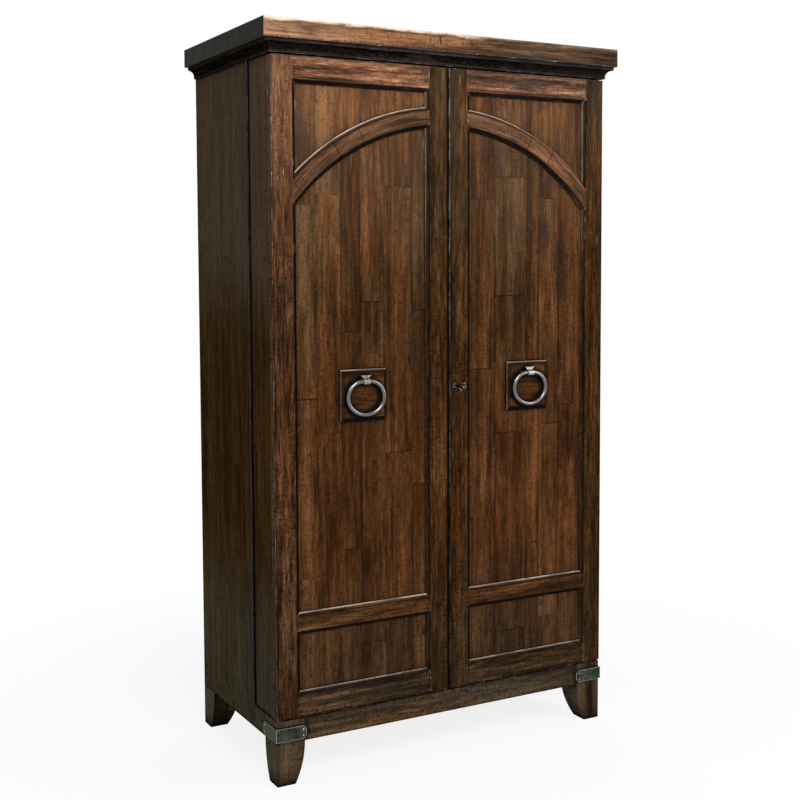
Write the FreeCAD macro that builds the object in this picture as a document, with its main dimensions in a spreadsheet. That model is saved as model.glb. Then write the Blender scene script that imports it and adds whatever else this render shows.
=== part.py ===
import FreeCAD, Part
import math
import os
import re

import Sketcher

# A bar armoire: a plain case on tapered legs, closed by two deep doors whose arched frames
# meet in the middle. Millimetres, +Z up, +Y to the back, X = 0 on the line where the doors meet.

SIZES = {
    # the whole
    "overall_height": 1923,
    "case_width": 1016,
    "case_depth": 531,
    "door_depth": 140,
    # top
    "slab_thickness": 48,
    "slab_side": 29,
    "slab_front": 30,
    "slab_back": 9,
    "cornice_height": 32,
    "cornice_reach": 22,
    "cornice_lip": 5,
    "lip_height": 6,
    "cove_radius": 17,
    # base
    "base_height": 168,
    "apron_height": 59,
    "apron_thickness": 22,
    "base_setback": 2.5,
    "leg_width": 77,
    "foot_taper": 27,
    # corner straps
    "strap_height": 34,
    "strap_drop": 18,
    "strap_reach": 80,
    "strap_thickness": 4,
    "strap_clip": 8,
    "nail_radius": 2.2,
    "nail_head": 1.2,
    "nail_inset": 9,
    # case boards
    "side_thickness": 22,
    "bottom_thickness": 22,
    "back_thickness": 9,
    # gaps round the doors
    "reveal": 4,
    "centre_gap": 3.5,
    "seam": 4,
    # door frame and panel
    "frame_width": 57,
    "frame_thickness": 22,
    "bevel_width": 10,
    "bevel_depth": 8,
    "panel_setback": 10,
    "panel_lap": 8,
    "mid_rail_rise": 213,
    "mid_rail_height": 57,
    "arch_drop": 44,
    "arch_radius": 628,
    "arch_width": 57,
    # door box
    "wall_thickness": 18,
    "end_thickness": 18,
    "door_shelf_thickness": 16,
    "door_shelf_setback": 6,
    "door_shelf_count": 4,
    "guard_radius": 5,
    "guard_height": 70,
    "guard_inset": 8,
    # pulls
    "pull_height": 988,
    "plate_size": 134,
    "plate_bevel": 10,
    "plate_bevel_depth": 6,
    "ring_rise": 36,
    "ring_bend": 41,
    "ring_straight": 22,
    "belly_angle": 40,
    "ring_wire": 5.75,
    "eye_length": 19,
    "eye_wall": 2.6,
    "eye_clearance": 0.3,
    "eye_standoff": 1.5,
    "hanger_cap_width": 30,
    "hanger_cap_height": 5.5,
    "hanger_neck_width": 18,
    "hanger_neck_height": 1.5,
    # continuous hinges
    "knuckle_radius": 3.2,
    "knuckle_count": 13,
    "knuckle_gap": 0.4,
    "hinge_proud": 0.3,
    "pin_radius": 1.5,
    "pin_clearance": 0.05,
    "leaf_width": 16,
    "leaf_gap": 0.5,
    # lock and key
    "key_offset": 14,
    "key_height": 1000,
    "key_radius": 2.75,
    "key_clearance": 0.3,
    "key_reach": 60,
    "collar_radius": 4.6,
    "collar_length": 4,
    "bow_lobe": 7.5,
    "bow_hole": 4,
    "bow_thickness": 3.6,
    "bow_spread": 8,
    "bow_step": 10,
    "bow_turn": 35,
    "bit_radius": 6.5,
    "bit_thickness": 3,
    "bit_length": 8,
    "bit_clearance": 1,
    "escutcheon_radius": 9,
    "escutcheon_proud": 1.2,
    "lock_width": 34,
    "lock_depth": 24,
    "lock_wall": 2.5,
    "lock_footroom": 9.5,
    "lock_headroom": 6.5,
    "lock_clearance": 1,
    "bolt_height": 12,
    "bolt_depth": 12,
    "bolt_throw": 10,
    "bolt_clearance": 0.3,
    "strike_clearance": 1,
    # fittings inside the case
    "counter_height": 930,
    "counter_thickness": 25,
    "fitting_setback": 10,
    "divider_thickness": 18,
    "shelf_thickness": 18,
    "lower_shelf_height": 540,
    "upper_shelf_height": 1400,
    "rack_tiers": 2,
    "rack_slots": 4,
    "rack_rise": 100,
    "rack_pitch": 330,
    "rack_rail_height": 55,
    "rack_rail_thickness": 18,
    "rack_span": 230,
    "bottle_radius": 41,
    "bottle_sink": 28,
    "stem_rail_count": 4,
    "stem_pitch": 108,
    "stem_web": 14,
    "stem_drop": 30,
    "stem_flange": 80,
    "stem_flange_thickness": 8,
}

# Places worked out from the sizes: x to the right, y to the back, z up, from the floor's centre.
PLACES = {
    "half": "case_width / 2",
    "front": "(key_reach - case_depth - slab_back) / 2",
    "back": "front + case_depth",
    "slab_bottom": "overall_height - slab_thickness",
    "case_top": "slab_bottom - cornice_height",
    "apron_bottom": "base_height - apron_height",
    "base_front": "front + base_setback",
    "leg_inner": "half - leg_width",
    "leg_back": "base_front + leg_width",
    "foot_radius": "(apron_bottom * apron_bottom + foot_taper * foot_taper) / (2 * foot_taper)",
    "side_inner": "half - side_thickness",
    "back_inner": "back - back_thickness",
    "bottom_under": "base_height - bottom_thickness",
    "door_top": "case_top - reveal",
    "door_bottom": "base_height + reveal",
    "door_back": "front + door_depth",
    "case_front": "door_back + seam",
    "door_edge": "centre_gap / 2",
    "door_middle": "(half + door_edge) / 2",
    "frame_back": "front + frame_thickness",
    "panel_face": "front + panel_setback",
    "frame_reach": "frame_width + bevel_width",
    "panel_inset": "frame_reach - panel_lap",
    "shoulder_outer": "half - frame_width",
    "shoulder_inner": "door_edge + frame_width",
    "wall_outer": "half - wall_thickness",
    "wall_inner": "door_edge + wall_thickness",
    "mid_rail_bottom": "door_bottom + mid_rail_rise",
    "mid_rail_top": "mid_rail_bottom + mid_rail_height",
    "arch_centre": "door_top - frame_width - arch_drop - arch_radius",
    "arch_inner": "arch_radius - arch_width",
    "shelf_bay": "(door_top - door_bottom - 2 * end_thickness + door_shelf_thickness)"
                 " / (door_shelf_count + 1)",
    "ring_height": "pull_height + ring_rise",
    "eye_radius": "ring_wire + eye_clearance + eye_wall",
    "ring_front": "front - eye_standoff - eye_radius",
    "hinge_x": "half + hinge_proud + knuckle_radius",
    "hinge_y": "door_back + seam / 2",
    "leaf_thickness": "(seam - leaf_gap) / 2",
    "knuckle_pitch": "(door_top - door_bottom) / knuckle_count",
    "keyhole_radius": "key_radius + key_clearance",
    "key_end": "frame_back + lock_depth - lock_wall - key_clearance",
    "lock_back": "frame_back + lock_depth",
    "lock_middle": "frame_back + lock_depth / 2",
    "lock_end": "door_edge + lock_width",
    "bolt_bottom": "key_height + bit_radius + bit_clearance",
    "bolt_top": "bolt_bottom + bolt_height",
    "lock_bottom": "key_height - bit_radius - lock_footroom - lock_wall",
    "lock_top": "bolt_top + lock_headroom + lock_wall",
    "fittings_front": "case_front + fitting_setback",
    "counter_under": "counter_height - counter_thickness",
    "rack_bay": "(side_inner - divider_thickness / 2) / rack_slots",
    "strap_top": "base_height - strap_drop",
    "strap_bottom": "strap_top - strap_height",
}

WORD = re.compile(r"[a-z][a-z_]*")
AXIS_TURNS = {
    "x": FreeCAD.Rotation(FreeCAD.Vector(0, 1, 0), 90),
    "y": FreeCAD.Rotation(FreeCAD.Vector(1, 0, 0), -90),
    "z": FreeCAD.Rotation(),
}
OVERRUN = 1  # how far a cutting shape runs past the faces that it cuts
NODES = []

doc = FreeCAD.newDocument("BarArmoire")


def fill_sheet():
    """Puts every driving size in a cell of its own, named by its alias."""
    sheet = doc.addObject("Spreadsheet::Sheet", "Sizes")
    for row, (alias, size) in enumerate(SIZES.items(), start=1):
        sheet.set(f"A{row}", alias)
        sheet.set(f"B{row}", str(size))
        sheet.setAlias(f"B{row}", alias)
    doc.recompute()
    return sheet


def formula(text):
    """Spells a formula out: sizes become sheet cells, places become their own formulas."""
    def spell(match):
        word = match.group()
        if word in SIZES:
            return f"Sizes.{word}"
        if word in PLACES:
            return f"({formula(PLACES[word])})"
        return word
    return WORD.sub(spell, text)


def bind(item, sizes, at):
    """Ties an object's sizes and its place to the sheet."""
    for name, text in sizes.items():
        item.setExpression(name, formula(text))
    for axis, text in zip("xyz", at):
        item.setExpression(f"Placement.Base.{axis}", formula(text))
    return item


def box(label, low, high):
    """A board between two opposite corners."""
    item = doc.addObject("Part::Box", label)
    sides = zip(("Length", "Width", "Height"), low, high)
    return bind(item, {side: f"({far}) - ({near})" for side, near, far in sides}, low)


def rod(label, axis, radius, start, length):
    item = doc.addObject("Part::Cylinder", label)
    item.Placement = FreeCAD.Placement(FreeCAD.Vector(), AXIS_TURNS[axis])
    return bind(item, {"Radius": radius, "Height": length}, start)


def cone(label, axis, radii, start, length):
    item = doc.addObject("Part::Cone", label)
    item.Placement = FreeCAD.Placement(FreeCAD.Vector(), AXIS_TURNS[axis])
    return bind(item, {"Radius1": radii[0], "Radius2": radii[1], "Height": length}, start)


def prism(label, plane, outline, start, length):
    """A piece of one section: an outline padded along the normal of its plane, from start."""
    body = doc.addObject("PartDesign::Body", label)
    sketch = body.newObject("Sketcher::SketchObject", f"{label}_outline")
    planes = {item.Role: item for item in body.Origin.OriginFeatures}
    sketch.AttachmentSupport = (planes[f"{plane}_Plane"], [""])
    sketch.MapMode = "FlatFace"
    count = len(outline)
    turns = [2 * math.pi * step / count for step in range(count)]
    rough = [FreeCAD.Vector(math.cos(turn), math.sin(turn), 0) for turn in turns]
    for step in range(count):
        sketch.addGeometry(Part.LineSegment(rough[step], rough[(step + 1) % count]))
    for step in range(count):
        sketch.addConstraint(Sketcher.Constraint("Coincident", step, 2, (step + 1) % count, 1))
    for step, point in enumerate(outline):
        for kind, text in zip(("DistanceX", "DistanceY"), point):
            index = sketch.addConstraint(Sketcher.Constraint(kind, -1, 1, step, 1, 1.0))
            sketch.setExpression(f"Constraints[{index}]", formula(text))
    pad = body.newObject("PartDesign::Pad", f"{label}_pad")
    pad.Profile = sketch
    pad.Reversed = plane == "XZ"
    pad.setExpression("Length", formula(length))
    sketch.Visibility = False
    normal = {"XY": "z", "XZ": "y", "YZ": "x"}[plane]
    return bind(body, {}, [start if axis == normal else "0" for axis in "xyz"])


def fuse(label, *pieces):
    item = doc.addObject("Part::MultiFuse", label)
    item.Shapes = list(pieces)
    item.Refine = True
    return item


def cut(label, base, *tools):
    item = doc.addObject("Part::Cut", label)
    item.Base = base
    item.Tool = tools[0] if len(tools) == 1 else fuse(f"{label}_tools", *tools)
    return item


def common(label, *pieces):
    item = doc.addObject("Part::MultiCommon", label)
    item.Shapes = list(pieces)
    return item


def mirror(label, source):
    """The same piece on the other side of the line where the doors meet."""
    item = doc.addObject("Part::Mirroring", label)
    item.Source = source
    item.Normal = FreeCAD.Vector(1, 0, 0)
    return item


def group(label, pieces):
    """Like pieces that share one node and stay separate solids."""
    item = doc.addObject("Part::Compound", label)
    item.Links = list(pieces)
    return item


def node(label, item):
    item.Label = label
    NODES.append(item)
    return item


def node_pair(name, left):
    """A left piece and its mirror image, as two nodes."""
    node(f"left_{name}", left)
    node(f"right_{name}", mirror(f"right_{name}", left))


# Base

def leg(label, y_low, y_high, curve_y, upper):
    """A square foot whose two inner faces curve in towards the floor, under an upper block."""
    block = box(f"{label}_foot", ("-half", y_low, "0"), ("-leg_inner", y_high, "apron_bottom"))
    across = rod(f"{label}_across", "y", "foot_radius",
                 ("-leg_inner - foot_radius", f"{y_low} - {OVERRUN}", "apron_bottom"),
                 f"leg_width + 2 * {OVERRUN}")
    along = rod(f"{label}_along", "x", "foot_radius",
                (f"-half - {OVERRUN}", curve_y, "apron_bottom"), f"leg_width + 2 * {OVERRUN}")
    return fuse(label, common(f"{label}_taper", block, across, along), upper)


def base():
    post = box("front_post", ("-half", "base_front", "apron_bottom"),
               ("-leg_inner", "leg_back", "base_height"))
    front_leg = leg("front_leg", "base_front", "leg_back", "leg_back - foot_radius", post)
    node_pair("front_leg", front_leg)
    rear_front = "back - leg_width"
    block = box("rear_block", ("-side_inner", rear_front, "apron_bottom"),
                ("-leg_inner", "back_inner", "bottom_under"))
    rear_leg = leg("rear_leg", rear_front, "back", f"{rear_front} + foot_radius", block)
    node("rear_legs", group("rear_legs", [rear_leg, mirror("rear_leg_right", rear_leg)]))
    apron = box("front_apron", ("-leg_inner", "base_front", "apron_bottom"),
                ("leg_inner", "base_front + apron_thickness", "base_height"))
    node("front_apron", apron)


def straps():
    """Metal straps let round the front corners, with clipped ends and a pair of nails at each."""
    face = "base_front - strap_thickness"
    front_end = "-half + strap_reach"
    front_leg = prism("strap_front", "XZ", clipped_outline("-half - strap_thickness", front_end), face,
                      "strap_thickness")
    side_end = "base_front + strap_reach"
    side_leg = prism("strap_side", "YZ", clipped_outline("base_front", side_end),
                     "-half - strap_thickness", "strap_thickness")
    node_pair("corner_strap", fuse("corner_strap", front_leg, side_leg))
    nails = []
    for step, z in enumerate(("strap_bottom + nail_inset", "strap_top - nail_inset")):
        nails.append(rod(f"front_nail_{step}", "y", "nail_radius",
                         (f"{front_end} - nail_inset", f"{face} - nail_head", z), "nail_head"))
        nails.append(rod(f"side_nail_{step}", "x", "nail_radius",
                         ("-half - strap_thickness - nail_head", f"{side_end} - nail_inset", z),
                         "nail_head"))
    nails += [mirror(f"{nail.Name}_right", nail) for nail in nails]
    node("strap_nails", group("strap_nails", nails))


def clipped_outline(start, end):
    return [(start, "strap_bottom"), (f"{end} - strap_clip", "strap_bottom"),
            (end, "strap_bottom + strap_clip"), (end, "strap_top - strap_clip"),
            (f"{end} - strap_clip", "strap_top"), (start, "strap_top")]


# Case

def case():
    board = box("side_board", ("-half", "leg_back", "apron_bottom"), ("-side_inner", "back", "case_top"))
    door_room = box("side_notch", ("-half", "leg_back", "base_height"),
                    ("-side_inner", "case_front", "case_top"))
    node_pair("side", cut("side", board, door_room))
    bottom = box("bottom_plank", ("-side_inner", "base_front + apron_thickness", "bottom_under"),
                 ("side_inner", "back_inner", "base_height"))
    notch = box("bottom_notch", ("-side_inner", "base_front", "bottom_under"),
                ("-leg_inner", "leg_back", "base_height"))
    node("bottom_board", cut("bottom_board", bottom, notch, mirror("bottom_notch_right", notch)))
    node("back_panel", box("back_panel", ("-side_inner", "back_inner", "apron_bottom"),
                           ("side_inner", "back", "case_top")))
    node("top_board", box("top_board", ("-half", "front", "case_top"), ("half", "back", "slab_bottom")))


def cornice_length(label, low, high, cove_axis, cove_start, cove_length, lip_room):
    """A moulding: a square top edge, a hollow under it and a small lip at the bottom."""
    stock = box(f"{label}_stock", low, high)
    cove = rod(f"{label}_cove", cove_axis, "cove_radius", cove_start, cove_length)
    return cut(f"{label}_moulded", stock, cove, lip_room)


def cornice():
    """Three mouldings round the top board, mitred at the front corners."""
    outer_x = "half + cornice_reach"
    outer_y = "front - cornice_reach"
    lip_top = "case_top + lip_height"
    cove_shift = "cornice_lip + cove_radius"
    front_lip = box("front_lip_room", (f"-({outer_x})", outer_y, "case_top"),
                    (outer_x, "front - cornice_lip", lip_top))
    front = cornice_length("cornice_front", (f"-({outer_x})", outer_y, "case_top"),
                           (outer_x, "front", "slab_bottom"), "x",
                           (f"-({outer_x})", f"front - ({cove_shift})", lip_top), f"2 * ({outer_x})",
                           front_lip)
    side_lip = box("side_lip_room", (f"-({outer_x})", outer_y, "case_top"),
                   ("-half - cornice_lip", "back", lip_top))
    side = cornice_length("cornice_side", (f"-({outer_x})", outer_y, "case_top"),
                          ("-half", "back", "slab_bottom"), "y",
                          (f"-half - ({cove_shift})", outer_y, lip_top), f"back - ({outer_y})",
                          side_lip)
    corner = [("-half", "front"), (f"-({outer_x})", outer_y)]
    front_waste = prism("front_mitre", "XY", corner + [(f"-({outer_x})", "front")], "case_top",
                        "cornice_height")
    side_waste = prism("side_mitre", "XY", corner + [("-half", outer_y)], "case_top", "cornice_height")
    node("front_cornice", cut("front_cornice", front, front_waste,
                              mirror("front_mitre_right", front_waste)))
    node_pair("cornice", cut("side_cornice", side, side_waste))
    node("top_slab", box("top_slab", ("-half - slab_side", "front - slab_front", "slab_bottom"),
                         ("half + slab_side", "back + slab_back", "overall_height")))


# Doors, made for the left and mirrored to the right

def frame_section(edge, sign):
    """Stile or rail: flat, bevelled to the panel, with a rabbet behind that the panel sits in."""
    reach = f"{edge} {sign} frame_reach"
    rabbet = f"{edge} {sign} panel_inset"
    return [(edge, "front"), (f"{edge} {sign} frame_width", "front"), (reach, "front + bevel_depth"),
            (reach, "panel_face"), (rabbet, "panel_face"), (rabbet, "frame_back"), (edge, "frame_back")]


def swapped(outline):
    return [(second, first) for first, second in outline]


def door_frame():
    """Stiles and rails, with the rail ends coped over the stiles' bevels."""
    height = "door_top - door_bottom"
    hinge_stile = prism("hinge_stile", "XY", frame_section("-half", "+"), "door_bottom", height)
    meeting_stile = prism("meeting_stile", "XY", frame_section("-door_edge", "-"), "door_bottom", height)
    rail_length = "shoulder_outer - shoulder_inner"
    sections = {
        "top_rail": swapped(frame_section("door_top", "-")),
        "bottom_rail": swapped(frame_section("door_bottom", "+")),
        "mid_rail": [("front", "mid_rail_bottom + bevel_width"), ("front", "mid_rail_top - bevel_width"),
                     ("front + bevel_depth", "mid_rail_top"), ("panel_face", "mid_rail_top"),
                     ("panel_face", "mid_rail_bottom"), ("front + bevel_depth", "mid_rail_bottom")],
    }
    for name, section in sections.items():
        blank = prism(f"{name}_blank", "YZ", section, "-shoulder_outer", rail_length)
        node_pair(f"door_{name}", cut(name, blank, hinge_stile, meeting_stile))
    panel = box("door_panel", ("-half + panel_inset", "panel_face", "door_bottom + panel_inset"),
                ("-door_edge - panel_inset", "frame_back", "door_top - panel_inset"))
    node_pair("door_panel", panel)
    node_pair("door_arch", cut("arch", arch_blank(), hinge_stile, meeting_stile))
    node_pair("door_hinge_stile", hinge_stile)
    return meeting_stile


def arch_disc(label, radius, face_radius):
    centre = ("0", "front", "arch_centre")
    rim_start = ("0", "front + bevel_depth", "arch_centre")
    face = cone(f"{label}_face", "y", (face_radius, radius), centre, "bevel_depth")
    rim = rod(f"{label}_rim", "y", radius, rim_start, "panel_setback - bevel_depth")
    return fuse(label, face, rim)


def arch_blank():
    """One door's half of the round arch, bevelled on both edges like the rails."""
    outer = arch_disc("arch_outer", "arch_radius", "arch_radius - bevel_width")
    inner = arch_disc("arch_inner_disc", "arch_inner", "arch_inner + bevel_width")
    room = box("arch_room", ("-shoulder_outer", "front", "arch_centre"),
               ("-shoulder_inner", "panel_face", "door_top - frame_width"))
    return common("arch_blank", cut("arch_ring", outer, inner), room)


def door_box():
    """The shallow cupboard behind each frame: two walls, two ends, shelves and guard rails.

    A shelf of the right door that meets the lock is notched round it.
    """
    outer = box("hinge_wall", ("-half", "frame_back", "door_bottom"),
                ("-wall_outer", "door_back", "door_top"))
    inner = box("meeting_wall", ("-wall_inner", "frame_back", "door_bottom"),
                ("-door_edge", "door_back", "door_top"))
    node_pair("door_hinge_wall", outer)
    ends = []
    for name, low, high in (("lower", "door_bottom", "door_bottom + end_thickness"),
                            ("upper", "door_top - end_thickness", "door_top")):
        ends.append(box(f"{name}_end", ("-wall_outer", "frame_back", low),
                        ("-wall_inner", "door_back", high)))
    node_pair("door_end_boards", group("end_boards", ends))
    shelf_back = "door_back - door_shelf_setback"
    shelves = []
    guards = []
    for step in range(SIZES["door_shelf_count"] + 1):
        top = f"door_bottom + end_thickness + {step} * shelf_bay"
        if step > 0:
            shelves.append(box(f"door_shelf_{step}",
                               ("-wall_outer", "frame_back", f"{top} - door_shelf_thickness"),
                               ("-wall_inner", shelf_back, top)))
        guards.append(rod(f"guard_{step}", "x", "guard_radius",
                          ("-wall_outer", f"{shelf_back} - guard_inset", f"{top} + guard_height"),
                          "wall_outer - wall_inner"))
    left_shelves = node("left_door_shelves", group("door_shelves", shelves))
    lock_notch = box("lock_notch", ("door_edge", "frame_back", "lock_bottom - lock_clearance"),
                     ("lock_end + lock_clearance", "lock_back + lock_clearance",
                      "lock_top + lock_clearance"))
    node("right_door_shelves", cut("right_shelves", mirror("shelves_mirrored", left_shelves), lock_notch))
    node_pair("door_guard_rails", group("door_guards", guards))
    return inner


def pull_plate():
    """A square wooden block with bevelled edges, on the panel."""
    wedge = doc.addObject("Part::Wedge", "plate_face")
    near = "plate_size / 2 - plate_bevel"
    far = "plate_size / 2"
    bind(wedge, {"Ymin": "0", "Ymax": "plate_bevel_depth",
                 "Xmin": f"-({near})", "Xmax": near, "Zmin": f"-({near})", "Zmax": near,
                 "X2min": f"-({far})", "X2max": far, "Z2min": f"-({far})", "Z2max": far},
         ("-door_middle", "front", "pull_height"))
    foot = box("plate_foot",
               (f"-door_middle - {far}", "front + plate_bevel_depth", f"pull_height - {far}"),
               (f"-door_middle + {far}", "panel_face", f"pull_height + {far}"))
    node_pair("pull_plate", fuse("pull_plate", wedge, foot))


def hanger():
    """A flared bracket on the plate, with an eye that the ring's straight bar turns in."""
    eye_start = "-door_middle - eye_length / 2"
    eye = rod("eye", "x", "eye_radius", (eye_start, "ring_front", "ring_height"), "eye_length")
    neck_top = "ring_height + eye_radius + hanger_neck_height"
    cap_top = f"{neck_top} + hanger_cap_height"
    outline = []
    for side, points in (("+", (("hanger_neck_width", "ring_height"), ("hanger_neck_width", neck_top),
                                ("hanger_cap_width", cap_top))),
                         ("-", (("hanger_cap_width", cap_top), ("hanger_neck_width", neck_top),
                                ("hanger_neck_width", "ring_height")))):
        outline += [(f"-door_middle {side} {width} / 2", z) for width, z in points]
    bracket = prism("hanger_bracket", "XZ", outline, "ring_front", "front - ring_front")
    bore = rod("eye_bore", "x", "ring_wire + eye_clearance",
               (f"{eye_start} - {OVERRUN}", "ring_front", "ring_height"),
               f"eye_length + 2 * {OVERRUN}")
    node_pair("ring_hanger", cut("ring_hanger", fuse("hanger_blank", eye, bracket), bore))


def ring():
    """A round-wire ring: a short straight bar in the eye, round shoulders and a wider curve below."""
    half_bar = "ring_straight / 2"
    pieces = [rod("ring_bar", "x", "ring_wire",
                  (f"-door_middle - {half_bar}", "ring_front", "ring_height"), "ring_straight")]
    up = FreeCAD.Vector(0, 0, 1)
    right = FreeCAD.Vector(1, 0, 0)
    for name, sign, aside in (("outer", "-", -right), ("inner", "+", right)):
        pieces.append(bend(f"ring_{name}_shoulder", "ring_bend", "180 - belly_angle", up, aside,
                           (f"-door_middle {sign} {half_bar}", "ring_front", "ring_height - ring_bend")))
        pieces.append(bend(f"ring_{name}_belly", f"ring_bend + {half_bar} / sin(belly_angle)", "belly_angle",
                           -up, aside,
                           ("-door_middle", "ring_front",
                            f"ring_height - ring_bend + {half_bar} / tan(belly_angle)")))
    node_pair("pull_ring", fuse("pull_ring", *pieces))


def bend(label, radius, sweep, start, toward, centre):
    """The ring's wire bent round a centre, from one direction towards another."""
    item = doc.addObject("Part::Torus", label)
    turn = FreeCAD.Rotation(start, toward, start.cross(toward), "XYZ")
    item.Placement = FreeCAD.Placement(FreeCAD.Vector(), turn)
    return bind(item, {"Radius1": radius, "Radius2": "ring_wire", "Angle3": sweep}, centre)


# Hinges

def hinge_leaf(label, steps, y_low, y_high):
    """One leaf of a continuous hinge: a long plate with every second knuckle, bored for the pin."""
    pieces = [box(f"{label}_plate", ("-half", y_low, "door_bottom"),
                  ("-half + leaf_width", y_high, "door_top"))]
    for step in steps:
        low = f"door_bottom + {step} * knuckle_pitch + knuckle_gap / 2"
        high = f"door_bottom + {step + 1} * knuckle_pitch - knuckle_gap / 2"
        pieces.append(rod(f"{label}_knuckle_{step}", "z", "knuckle_radius",
                          ("-hinge_x", "hinge_y", low), "knuckle_pitch - knuckle_gap"))
        pieces.append(box(f"{label}_tab_{step}", ("-hinge_x", y_low, low), ("-half", y_high, high)))
    bore = rod(f"{label}_bore", "z", "pin_radius + pin_clearance",
               ("-hinge_x", "hinge_y", f"door_bottom - {OVERRUN}"),
               f"door_top - door_bottom + 2 * {OVERRUN}")
    return cut(label, fuse(f"{label}_solid", *pieces), bore)


def hinges():
    count = SIZES["knuckle_count"]
    case_leaf = hinge_leaf("case_leaf", range(0, count, 2), "case_front - leaf_thickness", "case_front")
    door_leaf = hinge_leaf("door_leaf", range(1, count, 2), "door_back", "door_back + leaf_thickness")
    pin = rod("hinge_pin", "z", "pin_radius", ("-hinge_x", "hinge_y", "door_bottom"),
              "door_top - door_bottom")
    node_pair("hinge_door_leaf", door_leaf)
    node("hinge_case_leaves", group("case_leaves", [case_leaf, mirror("case_leaf_right", case_leaf)]))
    node("hinge_pins", group("pins", [pin, mirror("pin_right", pin)]))


# Lock, in the right door's meeting edge

def keyhole(label, y_low, y_high):
    """A round hole for the shaft with a slot under it for the bit."""
    hole = rod(f"{label}_hole", "y", "keyhole_radius", ("key_offset", y_low, "key_height"),
               f"({y_high}) - ({y_low})")
    slot_half = "bit_thickness / 2 + key_clearance"
    slot = box(f"{label}_slot",
               (f"key_offset - ({slot_half})", y_low, "key_height - bit_radius - key_clearance"),
               (f"key_offset + ({slot_half})", y_high, "key_height"))
    return fuse(label, hole, slot)


def bolt_room(label, x_low, x_high, clearance):
    return box(label, (x_low, f"lock_middle - bolt_depth / 2 - {clearance}", f"bolt_bottom - {clearance}"),
               (x_high, f"lock_middle + bolt_depth / 2 + {clearance}", f"bolt_top + {clearance}"))


def meeting_edges(meeting_stile, meeting_wall):
    """The two meeting edges: the right one holds the lock, the left one takes its bolt."""
    node("left_door_meeting_stile", meeting_stile)
    stile = mirror("right_stile_blank", meeting_stile)
    hole = keyhole("stile_keyhole", "front", "frame_back")
    node("right_door_meeting_stile", cut("right_stile", stile, hole))
    mortise = bolt_room("bolt_mortise", "-door_edge - bolt_throw", "-door_edge", "strike_clearance")
    node("left_door_meeting_wall", cut("left_wall", meeting_wall, mortise))
    pocket = box("lock_pocket", ("door_edge", "frame_back", "lock_bottom"),
                 ("wall_inner", "lock_back", "lock_top"))
    node("right_door_meeting_wall", cut("right_wall", mirror("right_wall_blank", meeting_wall), pocket))


def lock():
    shell = box("lock_shell", ("door_edge", "frame_back", "lock_bottom"),
                ("lock_end", "lock_back", "lock_top"))
    inside = box("lock_inside",
                 ("door_edge + lock_wall", "frame_back + lock_wall", "lock_bottom + lock_wall"),
                 ("lock_end - lock_wall", "lock_back - lock_wall", "lock_top - lock_wall"))
    entry = keyhole("lock_keyhole", "frame_back", "frame_back + lock_wall")
    mouth = bolt_room("bolt_mouth", "door_edge", "door_edge + lock_wall", "bolt_clearance")
    node("lock_case", cut("lock_case", shell, inside, entry, mouth))
    bolt = bolt_room("lock_bolt", "door_edge + bolt_clearance", "lock_end - lock_wall - bolt_clearance", "0")
    node("lock_bolt", bolt)
    disc = rod("escutcheon_disc", "y", "escutcheon_radius",
               ("key_offset", "front - escutcheon_proud", "key_height"), "escutcheon_proud")
    hole = keyhole("escutcheon_keyhole", "front - escutcheon_proud", "front")
    node("keyhole_escutcheon", cut("escutcheon", disc, hole))


def key():
    """A furniture key: a flat bow of three pierced lobes, a shaft with a collar, and a bit in the lock."""
    lobe_end = "front - key_reach + bow_lobe"
    lobe_side = f"{lobe_end} + bow_step"
    face = "key_offset - bow_thickness / 2"
    lobes = []
    holes = []
    for name, y, z in (("end", lobe_end, "key_height"), ("upper", lobe_side, "key_height + bow_spread"),
                       ("lower", lobe_side, "key_height - bow_spread")):
        lobes.append(rod(f"bow_{name}", "x", "bow_lobe", (face, y, z), "bow_thickness"))
        holes.append(rod(f"bow_hole_{name}", "x", "bow_hole", (face, y, z), "bow_thickness"))
    bow = cut("bow", fuse("bow_blank", *lobes), *holes)
    bow.Placement = FreeCAD.Placement(FreeCAD.Vector(), FreeCAD.Rotation(FreeCAD.Vector(0, 1, 0), 1))
    pieces = [bind(bow, {"Placement.Rotation.Angle": "bow_turn"},
                   ("key_offset * (1 - cos(bow_turn)) - key_height * sin(bow_turn)", "0",
                    "key_height * (1 - cos(bow_turn)) + key_offset * sin(bow_turn)"))]
    shaft_start = f"{lobe_side} + bow_hole"
    pieces.append(rod("key_shaft", "y", "key_radius", ("key_offset", shaft_start, "key_height"),
                      f"key_end - ({shaft_start})"))
    collar_start = "front - escutcheon_proud - key_clearance - collar_length"
    pieces.append(rod("key_collar", "y", "collar_radius", ("key_offset", collar_start, "key_height"),
                      "collar_length"))
    pieces.append(box("key_bit",
                      ("key_offset - bit_thickness / 2", "lock_middle - bit_length / 2",
                       "key_height - bit_radius"),
                      ("key_offset + bit_thickness / 2", "lock_middle + bit_length / 2", "key_height")))
    node("key", fuse("key", *pieces))


# Fittings inside the case

def fittings():
    node("bar_counter", box("bar_counter", ("-side_inner", "fittings_front", "counter_under"),
                            ("side_inner", "back_inner", "counter_height")))
    node("centre_divider", box("centre_divider", ("-divider_thickness / 2", "fittings_front", "base_height"),
                               ("divider_thickness / 2", "back_inner", "counter_under")))
    node("lower_shelf", box("lower_shelf", ("divider_thickness / 2", "fittings_front", "lower_shelf_height"),
                            ("side_inner", "back_inner", "lower_shelf_height + shelf_thickness")))
    node("upper_shelf", box("upper_shelf", ("-side_inner", "fittings_front", "upper_shelf_height"),
                            ("side_inner", "back_inner", "upper_shelf_height + shelf_thickness")))


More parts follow.
